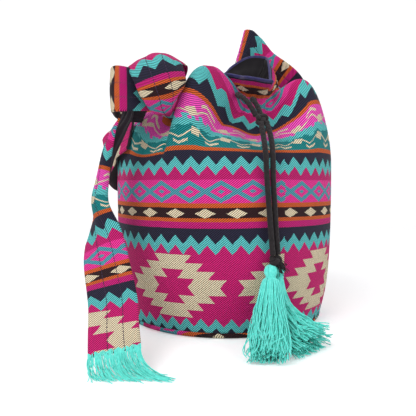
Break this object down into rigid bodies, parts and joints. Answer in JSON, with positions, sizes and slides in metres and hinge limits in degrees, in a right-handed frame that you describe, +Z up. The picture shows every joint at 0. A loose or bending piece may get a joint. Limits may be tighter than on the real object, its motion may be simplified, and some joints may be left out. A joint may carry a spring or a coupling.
{
  "type": "woven bucket bag",
  "caption": "Drawstring bucket bag of banded jacquard cloth with a gathered, ruffled mouth, a knotted fringed strap and thread tassels.",
  "frame": {"origin": "centre of the round base, on the floor", "axes": "+Z up, front with the drawstring knot and tassels towards -Y, +X to the right seen from the front"},
  "size_m": [0.2962, 0.4032, 0.3865],
  "materials": {
    "jacquard": "woven cotton jacquard in bands of pink, turquoise, navy, orange, brown and cream",
    "lining_cloth": "plain black cotton",
    "binding_tape": "navy cotton tape",
    "black_cord": "braided black cotton",
    "mint_thread": "loose glossy thread"
  },
  "bodies": {
    "root": {"bag_body": "jacquard", "bag_shoulder": "jacquard", "bag_collar": "jacquard", "base_panel": "jacquard", "lining": "lining_cloth", "lining_base": "lining_cloth", "mouth_binding": "binding_tape", "shoulder_strap": "jacquard", "knot_crown": "jacquard", "knot_wrap": "jacquard", "tail_strap": "jacquard", "tail_fringe": "mint_thread", "drawstring_loop": "black_cord", "drawstring_knot": "black_cord", "drawstring_tail_left": "black_cord", "drawstring_tail_right": "black_cord", "drawstring_end_knot": "black_cord", "tassel_front": "mint_thread", "tassel_front_tie": "mint_thread", "tassel_side": "mint_thread", "tassel_side_tie": "mint_thread"}
  },
  "joints": []
}
